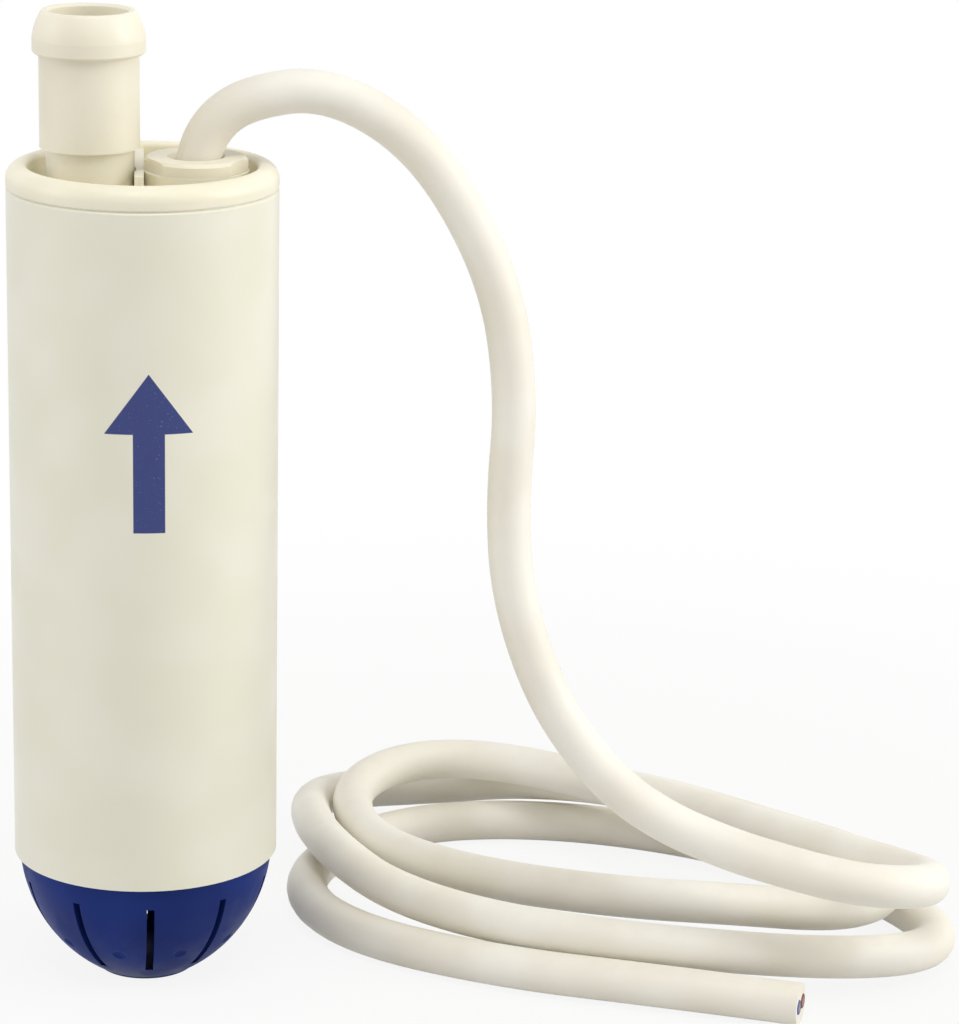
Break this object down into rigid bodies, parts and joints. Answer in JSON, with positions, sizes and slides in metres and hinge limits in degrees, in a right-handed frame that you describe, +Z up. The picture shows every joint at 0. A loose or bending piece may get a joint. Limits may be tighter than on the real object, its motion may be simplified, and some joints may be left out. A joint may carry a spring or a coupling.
{
  "type": "submersible water pump",
  "caption": "Slim submersible low-voltage pump with a slotted strainer, a top hose spigot and a flexible power cable that hangs from a gland into loose turns.",
  "frame": {"origin": "Middle of the strainer's foot, on the plane that the pump stands on.", "axes": "+Z runs up the body to the hose spigot. The spigot stands on the -X side of the head and the cable leaves on the +X side. +Y points away from the viewer of the picture."},
  "size_m": [0.1396, 0.0927, 0.1404],
  "materials": {
    "body_ivory": "satin moulded plastic",
    "spigot_ivory": "satin moulded plastic",
    "strainer_blue": "semi-gloss moulded plastic",
    "sheath_ivory": "matt flexible sheath",
    "core_insulation": "smooth flexible insulation",
    "seal_black": "matt rubber",
    "pod_grey": "moulded plastic",
    "can_steel": "drawn and plated",
    "bush_bronze": "sintered bronze",
    "magnet_ferrite": "ground ferrite",
    "shaft_steel": "ground steel",
    "core_steel": "stamped laminations",
    "winding_copper": "enamelled wire",
    "commutator_copper": "turned copper",
    "brush_carbon": "pressed carbon",
    "spring_brass": "rolled strip",
    "end_cap_black": "moulded plastic",
    "suppressor_tan": "dipped ceramic",
    "wire_red": "flexible insulation",
    "wire_black": "flexible insulation",
    "impeller_white": "moulded plastic",
    "casing_white": "moulded plastic",
    "screw_steel": "stainless steel"
  },
  "bodies": {
    "housing": {"outer_tube": "body_ivory", "head": "body_ivory", "head_seal": "seal_black", "outlet_spigot": "spigot_ivory", "spigot_seal": "seal_black", "gland_cap": "body_ivory", "gland_washer": "pod_grey", "gland_grommet": "seal_black", "motor_pod": "pod_grey", "pod_neck_seal": "seal_black", "pod_base": "pod_grey", "pod_base_seal": "seal_black", "shaft_seal": "seal_black", "seal_retainer": "screw_steel", "motor_can": "can_steel", "motor_end_cap": "end_cap_black", "front_bush": "bush_bronze", "rear_bush": "bush_bronze", "magnets": "magnet_ferrite", "magnet_clips": "shaft_steel", "brushes": "brush_carbon", "brush_arms": "spring_brass", "terminals": "spring_brass", "suppressor": "suppressor_tan", "wire_red": "wire_red", "wire_black": "wire_black", "pump_casing": "casing_white", "casing_screws": "screw_steel", "cable_entry": "sheath_ivory", "cable_lead": "sheath_ivory", "cable_coil": "sheath_ivory", "cable_cores": "core_insulation"},
    "rotor": {"motor_shaft": "shaft_steel", "rotor_core": "core_steel", "rotor_windings": "winding_copper", "commutator": "commutator_copper", "impeller": "impeller_white", "impeller_clip": "screw_steel"},
    "strainer_cover": {"strainer": "strainer_blue"}
  },
  "joints": [
    {"name": "rotor_spin", "type": "hinge", "parent": "housing", "child": "rotor", "pos_m": [0, 0, 0.0385], "axis": [0, 0, 1], "continuous": true},
    {"name": "strainer_twist", "type": "hinge", "parent": "housing", "child": "strainer_cover", "pos_m": [0, 0, 0.0183], "axis": [0, 0, 1], "range_deg": [0, 30]}
  ]
}
